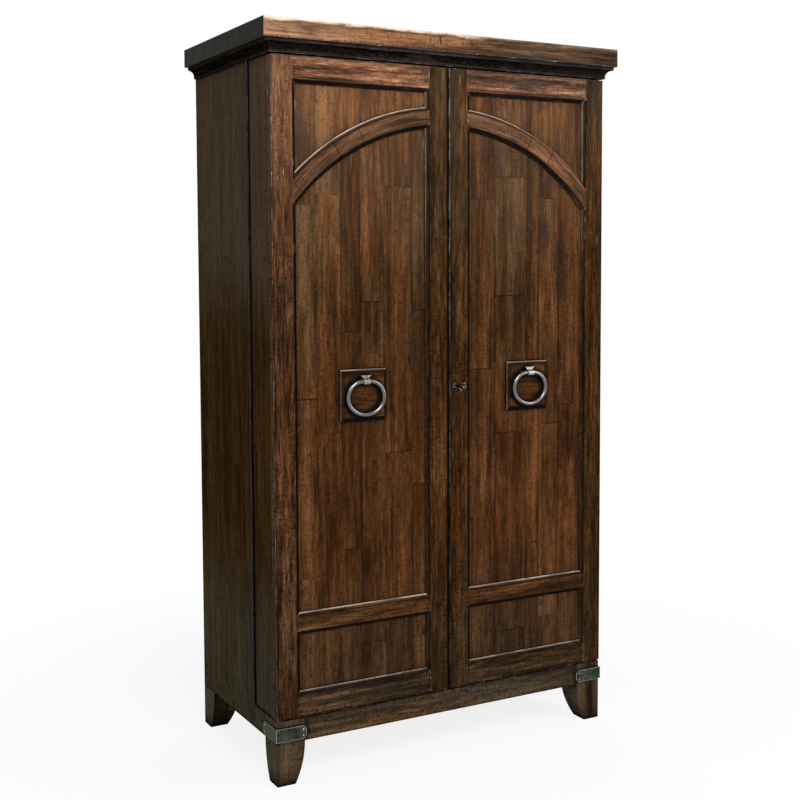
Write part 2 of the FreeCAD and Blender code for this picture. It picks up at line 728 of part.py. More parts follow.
def wine_rack():
    """Scalloped rails in the left bay that carry bottles on their sides, two rails to a tier."""
    rails = []
    for name, y in (("front", "fittings_front"),
                    ("rear", "fittings_front + rack_span - rack_rail_thickness")):
        for tier in range(SIZES["rack_tiers"]):
            top = f"base_height + rack_rise + {tier} * rack_pitch"
            label = f"rack_{name}_{tier}"
            rail = box(f"{label}_board", ("-side_inner", y, f"{top} - rack_rail_height"),
                       ("-divider_thickness / 2", f"{y} + rack_rail_thickness", top))
            bottles = []
            for slot in range(SIZES["rack_slots"]):
                bottles.append(rod(f"{label}_bottle_{slot}", "y", "bottle_radius",
                                   (f"-side_inner + {slot + 0.5} * rack_bay", f"{y} - {OVERRUN}",
                                    f"{top} + bottle_radius - bottle_sink"),
                                   f"rack_rail_thickness + 2 * {OVERRUN}"))
            rails.append(cut(label, rail, *bottles))
    node("wine_rack_rails", group("wine_rack_rails", rails))


def stemware_rack():
    """Rails of T section under the upper shelf; a glass hangs by its foot between two of them."""
    rails = []
    count = SIZES["stem_rail_count"]
    under = "upper_shelf_height"
    for step in range(count):
        x = f"{step - (count - 1) / 2} * stem_pitch"
        web = box(f"stem_web_{step}", (f"{x} - stem_web / 2", "fittings_front", f"{under} - stem_drop"),
                  (f"{x} + stem_web / 2", "back_inner", under))
        flange = box(f"stem_flange_{step}",
                     (f"{x} - stem_flange / 2", "fittings_front", f"{under} - stem_drop"),
                     (f"{x} + stem_flange / 2", "back_inner",
                      f"{under} - stem_drop + stem_flange_thickness"))
        rails.append(fuse(f"stem_rail_{step}", web, flange))
    node("stemware_rails", group("stemware_rails", rails))


def write_parts():
    """Stops on any failed object or bad shape, then writes each node's solids."""
    doc.recompute()
    failed = [item.Label for item in doc.Objects if {"Invalid", "Error"} & set(item.State)]
    if failed:
        raise RuntimeError(f"failed objects: {failed}")
    for item in NODES:
        if item.Shape.isNull() or not item.Shape.isValid() or not item.Shape.Solids:
            raise RuntimeError(f"bad shape: {item.Label}")
    os.makedirs("parts", exist_ok=True)
    for item in NODES:
        item.Shape.exportStep(f"parts/{item.Label}.step")
    print(f"{len(NODES)} nodes written")


fill_sheet()
base()
straps()
case()
cornice()
stile = door_frame()
wall = door_box()
pull_plate()
hanger()
ring()
hinges()
meeting_edges(stile, wall)
lock()
key()
fittings()
wine_rack()
stemware_rack()
write_parts()
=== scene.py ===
import collections
import math
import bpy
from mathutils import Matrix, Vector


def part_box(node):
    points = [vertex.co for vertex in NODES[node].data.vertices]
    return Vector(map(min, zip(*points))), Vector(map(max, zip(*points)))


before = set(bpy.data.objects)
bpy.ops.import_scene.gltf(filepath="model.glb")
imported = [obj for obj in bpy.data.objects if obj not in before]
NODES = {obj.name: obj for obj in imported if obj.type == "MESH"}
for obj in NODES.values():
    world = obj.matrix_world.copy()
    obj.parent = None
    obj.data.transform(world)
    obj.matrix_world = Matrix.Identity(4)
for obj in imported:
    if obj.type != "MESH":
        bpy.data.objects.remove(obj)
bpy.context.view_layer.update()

import types

import bpy
from mathutils import Matrix, Vector

# A bar armoire in distressed dark walnut: every piece of the frame gets its finish here, its sharp
# edges are softened, and it stands on a pale floor in soft studio light. Metres, +Z up, +Y to the back.

# Camera, fitted to the photograph's edges
CAMERA_PLACE = Vector((-1.7309, -3.1039, 1.3284))
CAMERA_AZIMUTH = math.radians(28.905)
CAMERA_PITCH = math.radians(-3.893)
CAMERA_ROLL = math.radians(-0.238)
CAMERA_LENS = 56.449
CAMERA_SENSOR = 36.0
CAMERA_SHIFT_Y = -0.065

# The round arch that the two doors share
ARCH_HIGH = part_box("left_door_arch")[1]
ARCH_RADIUS = 0.628
ARCH_CENTRE_Z = ARCH_HIGH.z - math.sqrt(ARCH_RADIUS ** 2 - ARCH_HIGH.x ** 2)
# Turns from the top at which each half arch's pieces meet
ARCH_JOINTS = (math.radians(25.5), math.radians(33.0))

# Sizes of a normal's x between which a face comes to count as looking sideways
SIDEWAYS_FACING = (0.65, 0.92)
EDGE_SAMPLES = 6
HOLLOW_SAMPLES = 8


def rgb(red, green, blue):
    return (red, green, blue, 1.0)


WHITE = rgb(1, 1, 1)


class Graph:
    """The shader nodes of a material or a world: each method adds one step and returns its output."""

    def __init__(self, owner):
        owner.use_nodes = True
        self.owner = owner
        self.tree = owner.node_tree
        self.tree.nodes.clear()

    def node(self, kind, inputs, **settings):
        made = self.tree.nodes.new(kind)
        for name, value in settings.items():
            setattr(made, name, value)
        for key, value in inputs.items():
            self.feed(made.inputs[key], value)
        return made

    def feed(self, socket, value):
        if isinstance(value, bpy.types.NodeSocket):
            self.tree.links.new(value, socket)
        else:
            socket.default_value = value

    def math(self, operation, first, second=0.0):
        return self.node("ShaderNodeMath", {0: first, 1: second}, operation=operation).outputs[0]

    def add(self, first, second):
        return self.math("ADD", first, second)

    def minus(self, first, second):
        return self.math("SUBTRACT", first, second)

    def times(self, first, second):
        return self.math("MULTIPLY", first, second)

    def most(self, first, second):
        return self.math("MAXIMUM", first, second)

    def flip(self, value):
        return self.minus(1.0, value)

    def fade(self, value, low, high):
        """0 below low, 1 above high, smooth between; low may be above high."""
        inputs = {"Value": value, "From Min": low, "From Max": high, "To Min": 0.0, "To Max": 1.0}
        return self.node("ShaderNodeMapRange", inputs, interpolation_type="SMOOTHSTEP").outputs[0]

    def span(self, value, low, high):
        """A value from 0 to 1, spread from low to high."""
        inputs = {"Value": value, "From Min": 0.0, "From Max": 1.0, "To Min": low, "To Max": high}
        return self.node("ShaderNodeMapRange", inputs).outputs[0]

    def mix(self, factor, first, second):
        inputs = {0: factor, 6: first, 7: second}
        return self.node("ShaderNodeMix", inputs, data_type="RGBA").outputs[2]

    def ramp(self, value, stops):
        made = self.node("ShaderNodeValToRGB", {"Fac": value})
        elements = made.color_ramp.elements
        while len(elements) < len(stops):
            elements.new(0.5)
        for element, (place, colour) in zip(elements, stops):
            element.position = place
            element.color = colour
        return made.outputs["Color"]

    def scaled(self, vector, scale):
        inputs = {0: vector, 1: scale}
        return self.node("ShaderNodeVectorMath", inputs, operation="MULTIPLY").outputs[0]

    def noise(self, vector, scale, detail, roughness=0.55, distortion=0.0):
        inputs = {"Vector": self.scaled(vector, scale), "Scale": 1.0, "Detail": detail,
                  "Roughness": roughness, "Distortion": distortion}
        return self.node("ShaderNodeTexNoise", inputs).outputs[0]

    def voronoi(self, vector, scale):
        inputs = {"Vector": self.scaled(vector, scale), "Scale": 1.0}
        return self.node("ShaderNodeTexVoronoi", inputs)

    def cells(self, value, feature="F1"):
        """Uneven cells along a line: random colours, or distances to the borders."""
        return self.node("ShaderNodeTexVoronoi", {"W": value, "Scale": 1.0}, voronoi_dimensions="1D",
                         feature=feature)

    def split(self, vector):
        return self.node("ShaderNodeSeparateXYZ", {0: vector}).outputs

    def split_colour(self, colour):
        return self.node("ShaderNodeSeparateColor", {0: colour}).outputs

    def vector(self, x, y, z):
        return self.node("ShaderNodeCombineXYZ", {0: x, 1: y, 2: z}).outputs[0]

    def place(self):
        """The point on the piece, in metres, as x, y and z."""
        return self.split(self.node("ShaderNodeTexCoord", {}).outputs["Object"])

    def share(self):
        """The point on the piece, as shares of its box along x, y and z."""
        return self.split(self.node("ShaderNodeTexCoord", {}).outputs["Generated"])

    def normal(self):
        """The way the surface faces, as x, y and z."""
        return self.split(self.node("ShaderNodeTexCoord", {}).outputs["Normal"])

    def sideways(self):
        """1 on faces that look left or right."""
        return self.fade(self.math("ABSOLUTE", self.normal()[0]), *SIDEWAYS_FACING)

    def edges(self, radius, low, high):
        """1 near sharp outer and inner edges, 0 on the flat."""
        soft = self.node("ShaderNodeBevel", {"Radius": radius}, samples=EDGE_SAMPLES).outputs[0]
        normal = self.node("ShaderNodeNewGeometry", {}).outputs["Normal"]
        facing = self.node("ShaderNodeVectorMath", {0: soft, 1: normal}, operation="DOT_PRODUCT")
        return self.fade(self.flip(facing.outputs["Value"]), low, high)

    def hollows(self, distance, low, high):
        """1 deep in a corner, 0 in the open; low and high are shares of cover within the distance."""
        inputs = {"Distance": distance, "Color": WHITE}
        made = self.node("ShaderNodeAmbientOcclusion", inputs, samples=HOLLOW_SAMPLES)
        return self.fade(self.flip(made.outputs["AO"]), low, high)

    def bump(self, height, strength, distance):
        inputs = {"Strength": strength, "Distance": distance, "Height": height}
        return self.node("ShaderNodeBump", inputs).outputs[0]

    def seen(self):
        """1 for rays from the camera and from shiny or clear things."""
        rays = self.node("ShaderNodeLightPath", {}).outputs
        shiny_or_clear = self.most(rays["Is Glossy Ray"], rays["Is Transmission Ray"])
        return self.most(rays["Is Camera Ray"], shiny_or_clear)

    def finish(self, **sockets):
        shader = self.node("ShaderNodeBsdfPrincipled", {})
        for name, value in sockets.items():
            self.feed(shader.inputs[name.replace("_", " ")], value)
        self.node("ShaderNodeOutputMaterial", {"Surface": shader.outputs[0]})
        return self.owner


# Wood: its colours

# The glaze's black in marks, joints and sawn ends, also used as painted shade in corners, on bevels and in the
# doors' gap
GLAZE_AND_SHADE_BLACK = rgb(0.0040, 0.0026, 0.0019)
GREY_GLAZE = rgb(0.038, 0.027, 0.023)
PALE_NICK = rgb(0.50, 0.44, 0.38)
# Painted highlight on bevels that lean up or left
BEVEL_HIGHLIGHT = rgb(0.43, 0.345, 0.285)
PALE_CROWN = rgb(0.66, 0.53, 0.40)
PALE_TAN = rgb(0.62, 0.35, 0.20)
END_GRAIN = rgb(0.0145, 0.0150, 0.0100)
# Painted highlight on the cornice's narrow lips
LIP_HIGHLIGHT_GREY = rgb(0.030, 0.027, 0.025)
# Hazes of painted sheen mixed with dust: the lamps' reflection above, the floor's reflection below
SHEEN_HAZE = rgb(0.112, 0.083, 0.056)
LOW_SHEEN_HAZE = rgb(0.094, 0.082, 0.056)
ARRIS_GREY = rgb(0.125, 0.125, 0.125)

# Each palette runs from the glaze-filled grain to the worn grain.
UMBER = (rgb(0.014, 0.0052, 0.0018), rgb(0.044, 0.0165, 0.0046), rgb(0.090, 0.036, 0.0108),
         rgb(0.185, 0.084, 0.033))
RUSSET = (rgb(0.016, 0.0065, 0.0032), rgb(0.070, 0.028, 0.0105), rgb(0.160, 0.066, 0.029),
          rgb(0.310, 0.138, 0.070))
CHESTNUT = (rgb(0.0147, 0.0048, 0.0015), rgb(0.046, 0.0153, 0.0039), rgb(0.0945, 0.0332, 0.0092),
            rgb(0.194, 0.0773, 0.0280))
EMBER = (rgb(0.018, 0.0080, 0.0060), rgb(0.085, 0.0330, 0.0150), rgb(0.200, 0.0780, 0.0360),
         rgb(0.400, 0.1760, 0.0920))
TAN = (rgb(0.028, 0.0110, 0.0040), rgb(0.105, 0.0440, 0.0170), rgb(0.205, 0.0880, 0.0365),
       rgb(0.345, 0.1600, 0.0760))
MOSS = (rgb(0.013, 0.0062, 0.0012), rgb(0.037, 0.0178, 0.0042), rgb(0.068, 0.034, 0.0095),
        rgb(0.115, 0.064, 0.023))
EBONY = (rgb(0.0008, 0.0005, 0.0003), rgb(0.0026, 0.0016, 0.0008), rgb(0.0064, 0.0038, 0.0016),
         rgb(0.014, 0.009, 0.005))
# Places of a palette's tones on the ramp over the figure, with bare grain last
RAMP_PLACES = (0.36, 0.46, 0.54, 0.65, 0.80)
# What a tone is multiplied by to make it bare grain, or olive
BARE_TINT = (1.8, 1.85, 1.9)
OLIVE_TINT = (0.57, 0.80, 1.0)

# Wood: places on the armoire

# Depths of the door frames' and pull plates' faces, and of the foot of their bevels
FRAME_FACE_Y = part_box("left_door_hinge_stile")[0].y
FRAME_BEVEL = (FRAME_FACE_Y, FRAME_FACE_Y + 0.008)
PLATE_FACE_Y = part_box("left_pull_plate")[0].y
PLATE_BEVEL = (PLATE_FACE_Y, PLATE_FACE_Y + 0.006)
# The left edge of the right door, where the two doors meet, the left door's edge painted black as the shade
# in the gap between the doors, and the right door's rubbed arris
MEETING_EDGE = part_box("right_door_meeting_stile")[0].x
MEETING_BLACK = (-MEETING_EDGE - 0.0065, -MEETING_EDGE - 0.0045)
MEETING_ARRIS = (MEETING_EDGE + 0.0036, MEETING_EDGE + 0.0020)
# Heights over which edges are worn paler, the panels are painted palest above the arch as light from above, and
# the hue is more mixed
WORN_ZONE = (1.20, 1.75)
CREST_ZONE = (1.60, 1.72)
MELLOW_ZONE = (0.92, 1.25)
# The cornice's two narrow lips, and how sharply they begin
CORNICE_LOW, CORNICE_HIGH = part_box("front_cornice")
CORNICE_LIPS = (CORNICE_LOW.z + 0.006, CORNICE_HIGH.z - 0.008)
LIP_BLUR = 0.001
# The slab's front face, the dark foot and the paler left end on it, and its worn upper edge
SLAB_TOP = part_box("top_slab")[1].z
SLAB_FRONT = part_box("top_slab")[0].y
SLAB_FACE = (SLAB_FRONT + 0.013, SLAB_FRONT + 0.004)
SLAB_FOOT = (SLAB_TOP - 0.020, SLAB_TOP - 0.048)
SLAB_FOOT_X = (-0.25, 0.0)
SLAB_PALE_X = (-0.20, -0.50)
SLAB_CROWN = (SLAB_TOP + 0.002, SLAB_TOP + 0.009)
CROWN_RAGGED = 0.020
# How dark the foot is, how pale the left end is and how bare the crown is from left to right, and how much
# darker the upper face is than the front, as painted shade against the lamps' light from above
SLAB_FOOT_DARKNESS = 0.55
SLAB_LEFT_PALENESS = 0.32
CROWN_BARENESS = (0.95, 0.15)
SLAB_UPPER_DROP = 0.06

# Shares of the pale and the crest lift, painted light, that are left, from left to right
PALE_LIFT_SHARE = (1.0, 0.35)
CREST_LIFT_SHARE = (1.0, 0.3)
# Shares of olive stain: of the patches and planks from low to mellow, of all where it is mellow or low, and
# of what is left on the crest
OLIVE_PATCH_SHARE = (0.5, 0.7)
OLIVE_PLANK_SHARE = (0.3, 0.85)
OLIVE_MELLOW = 0.3
OLIVE_LOW = 0.6
OLIVE_CREST_SHARE = (1.0, 0.55)

# Wood: its grain and marks, in repeats per metre across and along the grain

Layer = collections.namedtuple("Layer", "across along detail roughness distortion", defaults=(0.55, 0.0))
# A pattern is noise whose spots begin at one level and are full at another.
Pattern = collections.namedtuple("Pattern", "across along detail roughness begins full")

NOISE_MIDDLE = 0.5
CLOUD = Layer(6.0, 2.4, 2.0)
BAND = Layer(30.0, 1.6, 2.0, 0.5, 0.4)
STREAK = Layer(90.0, 6.0, 3.0, 0.6, 0.3)
FIBRE = Layer(210.0, 24.0, 3.0, 0.65)
SCRAPE = Layer(16.0, 5.0, 1.0)
RAGGED_RIM = Layer(34.0, 9.0, 3.0, 0.6)
RAGGED_CROWN = Layer(40.0, 14.0, 3.0, 0.65)

OLIVE_PATCH = Pattern(22.0, 3.6, 3.0, 0.6, 0.47, 0.58)
SMEAR = Pattern(20.0, 4.5, 4.0, 0.65, 0.53, 0.70)
GRIME = Pattern(64.0, 30.0, 5.0, 0.75, 0.50, 0.68)
SPECKLE = Pattern(170.0, 130.0, 2.0, 0.6, 0.50, 0.66)
SCRATCHED_PATCH = Pattern(9.0, 4.0, 2.0, 0.55, 0.42, 0.56)
SCRATCH = Pattern(42.0, 200.0, 2.0, 0.6, 0.57, 0.66)
CRACK = Pattern(130.0, 5.0, 2.0, 0.55, 0.62, 0.70)
DUST_AND_SHEEN = Pattern(22.0, 2.2, 3.0, 0.6, 0.32, 0.68)
CHATTER = Pattern(40.0, 180.0, 2.0, 0.55, 0.50, 0.58)
RUB_AND_HIGHLIGHT = Pattern(30.0, 12.0, 3.0, 0.65, 0.40, 0.60)
CHIP = Pattern(60.0, 40.0, 2.0, 0.55, 0.54, 0.61)
SCUFF = Pattern(150.0, 14.0, 1.0, 0.55, 0.69, 0.74)
BROKEN_ARRIS = Pattern(70.0, 22.0, 3.0, 0.7, 0.40, 0.60)

# Worm holes: cells per metre, the share of cells without one, and a hole's edge as a share of its cell
WORM_CELLS = (30.0, 30.0, 30.0)
WORM_CHOSEN = (0.86, 0.87)
WORM_EDGE = (0.075, 0.045)

# Planks: columns and lengths per metre, how they wander and stagger, and the lines between them
PLANK_COLUMNS = 13.0
PLANK_LENGTHS = 2.1
PLANK_WOBBLE = 0.06
PLANK_STAGGER = 40.0
PLANK_WOBBLE_SCALE = (3.0, 3.0, 14.0)
PLANK_SEAM = (0.075, 0.0)
PLANK_BUTT = (0.0065, 0.001)
PLANK_LINES_SCALE = (24.0, 24.0, 9.0)
PLANK_LINES_SHOWN = (0.40, 0.58)
PLANK_OLIVE = (0.55, 0.75)
# How far a plank's grain is moved from its neighbours', across and along
PLANK_GRAIN_SHIFT = (3.0, 5.0)

# Darkness and depth of marks that are the same on every board
SEAM_MARK = (0.60, 0.4)
BUTT_MARK = (0.70, 0.5)
GRIME_MARK = (0.45, 0.25)
NICK_DEPTH = 0.6
CRACK_DEPTH = 0.4
# Painted shade in corners and recesses: how far it reaches, and the cover between which they darken
RECESS = (0.06, 0.05, 0.34)
RECESS_DARKNESS = 0.6
CREASE = (0.018, 0.08, 0.30)
# Edges that hands rub: their width, the turn between which they show, and how bare they are; and the share
# of them that is chipped, from low to worn
RUBBED_EDGE = (0.0032, 0.04, 0.20)
RUBBED_BARENESS = 0.5
CHIPPED_SHARE = (0.45, 1.0)
# Rims: least and most raggedness of their width, how dark they are, and how near them the chatter marks are
RIM_RAGGED = (-0.6, 2.2)
RIM_DARKNESS = 0.9
CHATTER_NEAR = (0.0, 0.3)
ARCH_JOINT_LINE = (0.0022, 0.0006)
ARCH_JOINT_DARKNESS = 0.85
# Normals along the grain between which a face comes to count as a sawn end, and how streaked the end is
SAWN_FACING = (0.45, 0.7)
SAWN_STREAKS = 0.5
# Where the doors meet: how dark the painted shade on the left edge is, and how grey the right arris is by
# rubbing and by height
MEETING_DARKNESS = 0.92
ARRIS_RUB = (0.35, 1.0)
ARRIS_WORN = (0.3, 0.9)
# How grey the painted highlight on the cornice's lips is by the rub patches, and the lower one's share of that
LIP_HIGHLIGHT_PATCHES = (0.35, 0.8)
LOW_LIP_SHARE = 0.6

# Bevels: normals of faces that slant, between edge and flat; how much up and left count as towards the
# light; leanings that turn pale as painted highlight and dark as painted shade; shares of the way down the
# bevel; and how dark or pale they are
SLANT_EDGE = (-0.30, -0.55)
SLANT_FLAT = (-0.97, -0.92)
LEAN_UP = 0.87
LEAN_LEFT = 0.50
LEAN_PALE = (0.10, 0.56)
LEAN_DARK = (-0.06, -0.20)
BEVEL_LIP = (0.56, 0.88)
BEVEL_QUIRK = (0.42, 0.14)
BEVEL_DARKNESS = 0.93
QUIRK_DARKNESS = 0.85
BEVEL_HIGHLIGHT_PATCHES = (0.45, 1.0)

# The relief: heights of its layers, and its strength and depth
SCRAPE_HEIGHT = 1.2
STREAK_HEIGHT = 0.4
FIBRE_HEIGHT = 0.2
RELIEF_STRENGTH = 0.8
RELIEF_DEPTH = 0.0018
# How much streaks and recesses dull the lacquer, and the range of its roughness about the board's own
STREAK_DULLNESS = 0.6
RECESS_DULLNESS = 0.6
LACQUER_RANGE = (-0.12, 0.2)

PLAIN_LOOK = {
    # The stain: shares of cloud, band, streak and fibre in the figure, and how light it is
    "weights": (0.20, 0.30, 0.30, 0.20), "contrast": 1.0, "lift": 0.0, "tone_spread": 0.0,
    # Lighter or darker by place: painted light over the pale zone and over the crest, over the low zone, to the
    # right
    "pale_lift": 0.0, "crest_lift": 0.0, "low_lift": 0.0, "right_drop": 0.0,
    "pale_zone": (1.10, 1.42), "low_zone": (0.46, 0.16), "right_zone": (-0.12, 0.34),
    # Greener and darker stain: in patches, and to the right
    "variety": 0.5, "right_olive": 0.0,
    # Dark marks of the glaze, and how strong the painted shade in the corners and the dark rims are
    "smears": 0.7, "cracks": 0.5, "speckles": 0.3, "nicks": 0.5, "glaze": 0.85, "rims": None,
    # Rubbed and pale places, with painted highlights on bevels and lips and painted shade on bevels and the
    # doors' gap
    "wear": 0.5, "scuffs": 0.0, "bevels": 0.0, "low_bevels": None, "bevel": FRAME_BEVEL, "lips": None,
    "crown": False, "meeting": False,
    # Film of dust and painted sheen over the pale zone, over the low zone and on faces that look sideways, and
    # how patchy it is
    "film": (0.03, 0.08, 0.0), "film_patches": 0.7,
    # The lacquer
    "gloss": 0.015, "rough": 0.40,
}


def tinted(palette, red, green, blue):
    return [rgb(red * tone[0], green * tone[1], blue * tone[2]) for tone in palette]


def stops_of(palette):
    """A colour ramp over the figure: the palette, then bare grain."""
    bare = tinted(palette[-1:], *BARE_TINT)
    return list(zip(RAMP_PLACES, [*palette, *bare]))


class Board(Graph):
    """Hand-scraped walnut under a dark glaze, worn on its edges, with painted shade and painted highlights and
    sheen.
    """

    def __init__(self, name, axis, palette, **look):
        super().__init__(bpy.data.materials.new(name))
        self.axis = axis
        self.palette = palette
        self.look = types.SimpleNamespace(**{**PLAIN_LOOK, **look})
        self.x, self.y, self.z = self.place()
        self.pale = self.fade(self.z, *self.look.pale_zone)
        self.low = self.fade(self.z, *self.look.low_zone)
        self.right = self.fade(self.x, *self.look.right_zone)
        self.worn = self.fade(self.z, *WORN_ZONE)
        self.crest = self.fade(self.z, *CREST_ZONE)
        self.mellow = self.fade(self.z, *MELLOW_ZONE)
        if self.look.crown:
            self.front = self.fade(self.y, *SLAB_FACE)
            self.right = self.times(self.right, self.front)
        self.glazing = self.mix(self.worn, GLAZE_AND_SHADE_BLACK, GREY_GLAZE)
        self.grain = self.along_grain()
        # Where each mark is, how dark it is and how deep
        self.marks = []

    def along_grain(self):
        """Coordinates across, through and along the grain, which runs with an axis or round the arch."""
        if self.axis == "x":
            return self.vector(self.z, self.y, self.x)
        if self.axis == "y":
            return self.vector(self.x, self.z, self.y)
        if self.axis == "z":
            return self.vector(self.x, self.y, self.z)
        rise = self.minus(self.z, ARCH_CENTRE_Z)
        reach = self.math("SQRT", self.add(self.times(self.x, self.x), self.times(rise, rise)))
        turn = self.math("ARCTAN2", rise, self.x)
        return self.vector(reach, self.y, self.times(turn, ARCH_RADIUS))

    def layer(self, kind):
        scale = (kind.across, kind.across, kind.along)
        return self.noise(self.grain, scale, kind.detail, kind.roughness, kind.distortion)

    def spots(self, kind):
        """1 in the spots of a pattern, 0 between them."""
        scale = (kind.across, kind.across, kind.along)
        return self.fade(self.noise(self.grain, scale, kind.detail, kind.roughness), kind.begins, kind.full)

    def planks(self):
        """Random-length planks: a tone and a hue for each, the lines between them, and a grain shift."""
        point = self.vector(self.x, self.y, self.z)
        wobble = self.noise(point, PLANK_WOBBLE_SCALE, detail=1.0)
        column = self.add(self.times(self.x, PLANK_COLUMNS), self.times(wobble, PLANK_WOBBLE))
        column_tone = self.split_colour(self.cells(column).outputs["Color"])
        row = self.add(self.times(self.z, PLANK_LENGTHS), self.times(column_tone[0], PLANK_STAGGER))
        row_tone = self.split_colour(self.cells(row).outputs["Color"])
        tone = self.math("FRACT", self.add(column_tone[1], row_tone[0]))
        hue = self.math("FRACT", self.add(column_tone[2], row_tone[2]))
        shown = self.fade(self.noise(point, PLANK_LINES_SCALE, detail=2.0), *PLANK_LINES_SHOWN)
        seam = self.fade(self.cells(column, "DISTANCE_TO_EDGE").outputs["Distance"], *PLANK_SEAM)
        butt = self.fade(self.cells(row, "DISTANCE_TO_EDGE").outputs["Distance"], *PLANK_BUTT)
        across, along = PLANK_GRAIN_SHIFT
        shift = self.vector(self.times(column_tone[2], across), 0.0, self.times(row_tone[1], along))
        self.grain = self.node("ShaderNodeVectorMath", {0: self.grain, 1: shift}, operation="ADD").outputs[0]
        return tone, hue, self.times(seam, shown), self.times(butt, shown)

    def figure(self):
        """How light the stain is, from the grain and from the place on the piece, with painted light towards
        the top.
        """
        look = self.look
        self.streak = self.layer(STREAK)
        self.fibre = self.layer(FIBRE)
        layers = (self.layer(CLOUD), self.layer(BAND), self.streak, self.fibre)
        light = NOISE_MIDDLE + look.lift
        for layer, weight in zip(layers, look.weights):
            light = self.add(self.times(self.minus(layer, NOISE_MIDDLE), weight * look.contrast), light)
        # Painted light: the stain is lightened near the top and the left, where the lamps fall most
        if look.pale_lift:
            lighter = self.times(self.pale, self.span(self.right, *PALE_LIFT_SHARE))
            light = self.add(light, self.times(lighter, look.pale_lift))
        if look.crest_lift:
            lighter = self.times(self.crest, self.span(self.right, *CREST_LIFT_SHARE))
            light = self.add(light, self.times(lighter, look.crest_lift))
        if look.low_lift:
            light = self.add(light, self.times(self.low, look.low_lift))
        if look.right_drop:
            light = self.minus(light, self.times(self.right, look.right_drop))
        # Painted shade: the slab's upper face is darkened against the lamps' light from above
        if look.crown:
            light = self.minus(light, self.times(self.flip(self.front), SLAB_UPPER_DROP))
        return light

    def stained(self):
        """The stain, with its olive patches and planks."""
        look = self.look
        patch = self.times(self.spots(OLIVE_PATCH), self.span(self.mellow, *OLIVE_PATCH_SHARE))
        patch = self.add(patch, self.times(self.mellow, OLIVE_MELLOW))
        olive = self.most(self.times(patch, look.variety), self.times(self.low, OLIVE_LOW))
        if look.right_olive:
            olive = self.most(olive, self.times(self.right, look.right_olive))
        boards = self.planks() if look.tone_spread else None
        light = self.figure()
        if boards:
            tone, hue, seam, butt = boards
            light = self.add(light, self.times(self.minus(tone, NOISE_MIDDLE), look.tone_spread))
            olive_plank = self.fade(hue, *PLANK_OLIVE)
            olive_plank = self.times(olive_plank, self.span(self.mellow, *OLIVE_PLANK_SHARE))
            olive = self.times(self.most(olive, olive_plank), self.span(self.crest, *OLIVE_CREST_SHARE))
            self.marks += [(seam, *SEAM_MARK), (butt, *BUTT_MARK)]
        greener = tinted(self.palette, *OLIVE_TINT)
        return self.mix(olive, self.ramp(light, stops_of(self.palette)), self.ramp(light, stops_of(greener)))

    def dusted_and_sheened(self, colour):
        """A thin film of dust and painted sheen, the lamps' reflection above and the floor's below, uneven
        along the grain.
        """
        over, under, beside = self.look.film
        patches = self.look.film_patches
        veil = self.add(self.times(self.pale, over), self.times(self.low, under))
        veil = self.times(veil, self.span(self.spots(DUST_AND_SHEEN), 1 - patches, 1 + patches))
        if beside:
            veil = self.most(veil, self.times(self.sideways(), beside))
        return self.mix(veil, colour, self.mix(self.low, SHEEN_HAZE, LOW_SHEEN_HAZE))

    def slab_front_toned(self, colour):
        """The slab's front: paler towards its left end, and darker towards its foot on the right."""
        foot = self.times(self.fade(self.z, *SLAB_FOOT), self.fade(self.x, *SLAB_FOOT_X))
        colour = self.mix(self.times(foot, SLAB_FOOT_DARKNESS), colour, GLAZE_AND_SHADE_BLACK)
        left = self.times(self.fade(self.x, *SLAB_PALE_X), self.front)
        return self.mix(self.times(left, SLAB_LEFT_PALENESS), colour, PALE_TAN)

    def marked(self, colour):
        """Dark glaze in the smears, pores, scratches, cracks and worm holes, and between the planks."""
        look = self.look
        self.patch = self.spots(SCRATCHED_PATCH)
        scratch = self.times(self.spots(SCRATCH), self.patch)
        self.marks += [(self.spots(SMEAR), look.smears, 0.0), (self.spots(GRIME), *GRIME_MARK),
                       (self.spots(SPECKLE), look.speckles, 0.0), (scratch, look.nicks, NICK_DEPTH),
                       (self.spots(CRACK), look.cracks, CRACK_DEPTH),
                       (self.worm_holes(), look.nicks, NICK_DEPTH)]
        for mask, darkness, _ in self.marks:
            if darkness:
                colour = self.mix(self.times(mask, darkness), colour, self.glazing)
        if self.axis == "arch":
            joints = self.times(self.arch_joints(), ARCH_JOINT_DARKNESS)
            colour = self.mix(joints, colour, GLAZE_AND_SHADE_BLACK)
        return colour

    def worm_holes(self):
        """1 inside a few small round holes."""
        worm = self.voronoi(self.grain, WORM_CELLS)
        chosen = self.fade(self.split_colour(worm.outputs["Color"])[0], *WORM_CHOSEN)
        return self.times(self.fade(worm.outputs["Distance"], *WORM_EDGE), chosen)

    def arch_joints(self):
        """1 on the thin lines where the arch's pieces meet."""
        along = self.split(self.grain)[2]
        aside = self.math("ABSOLUTE", self.minus(along, ARCH_RADIUS * math.pi / 2))
        line = 0.0
        for turn in ARCH_JOINTS:
            gap = self.math("ABSOLUTE", self.minus(aside, ARCH_RADIUS * turn))
            line = self.most(self.fade(gap, *ARCH_JOINT_LINE), line)
        return line

    def hollowed(self, colour):
        """Painted shade: black in the corners and recesses, where light is blocked; and darker along the rims
        of the board.
        """
        look = self.look
        self.recess = self.hollows(*RECESS)
        crease = self.hollows(*CREASE)
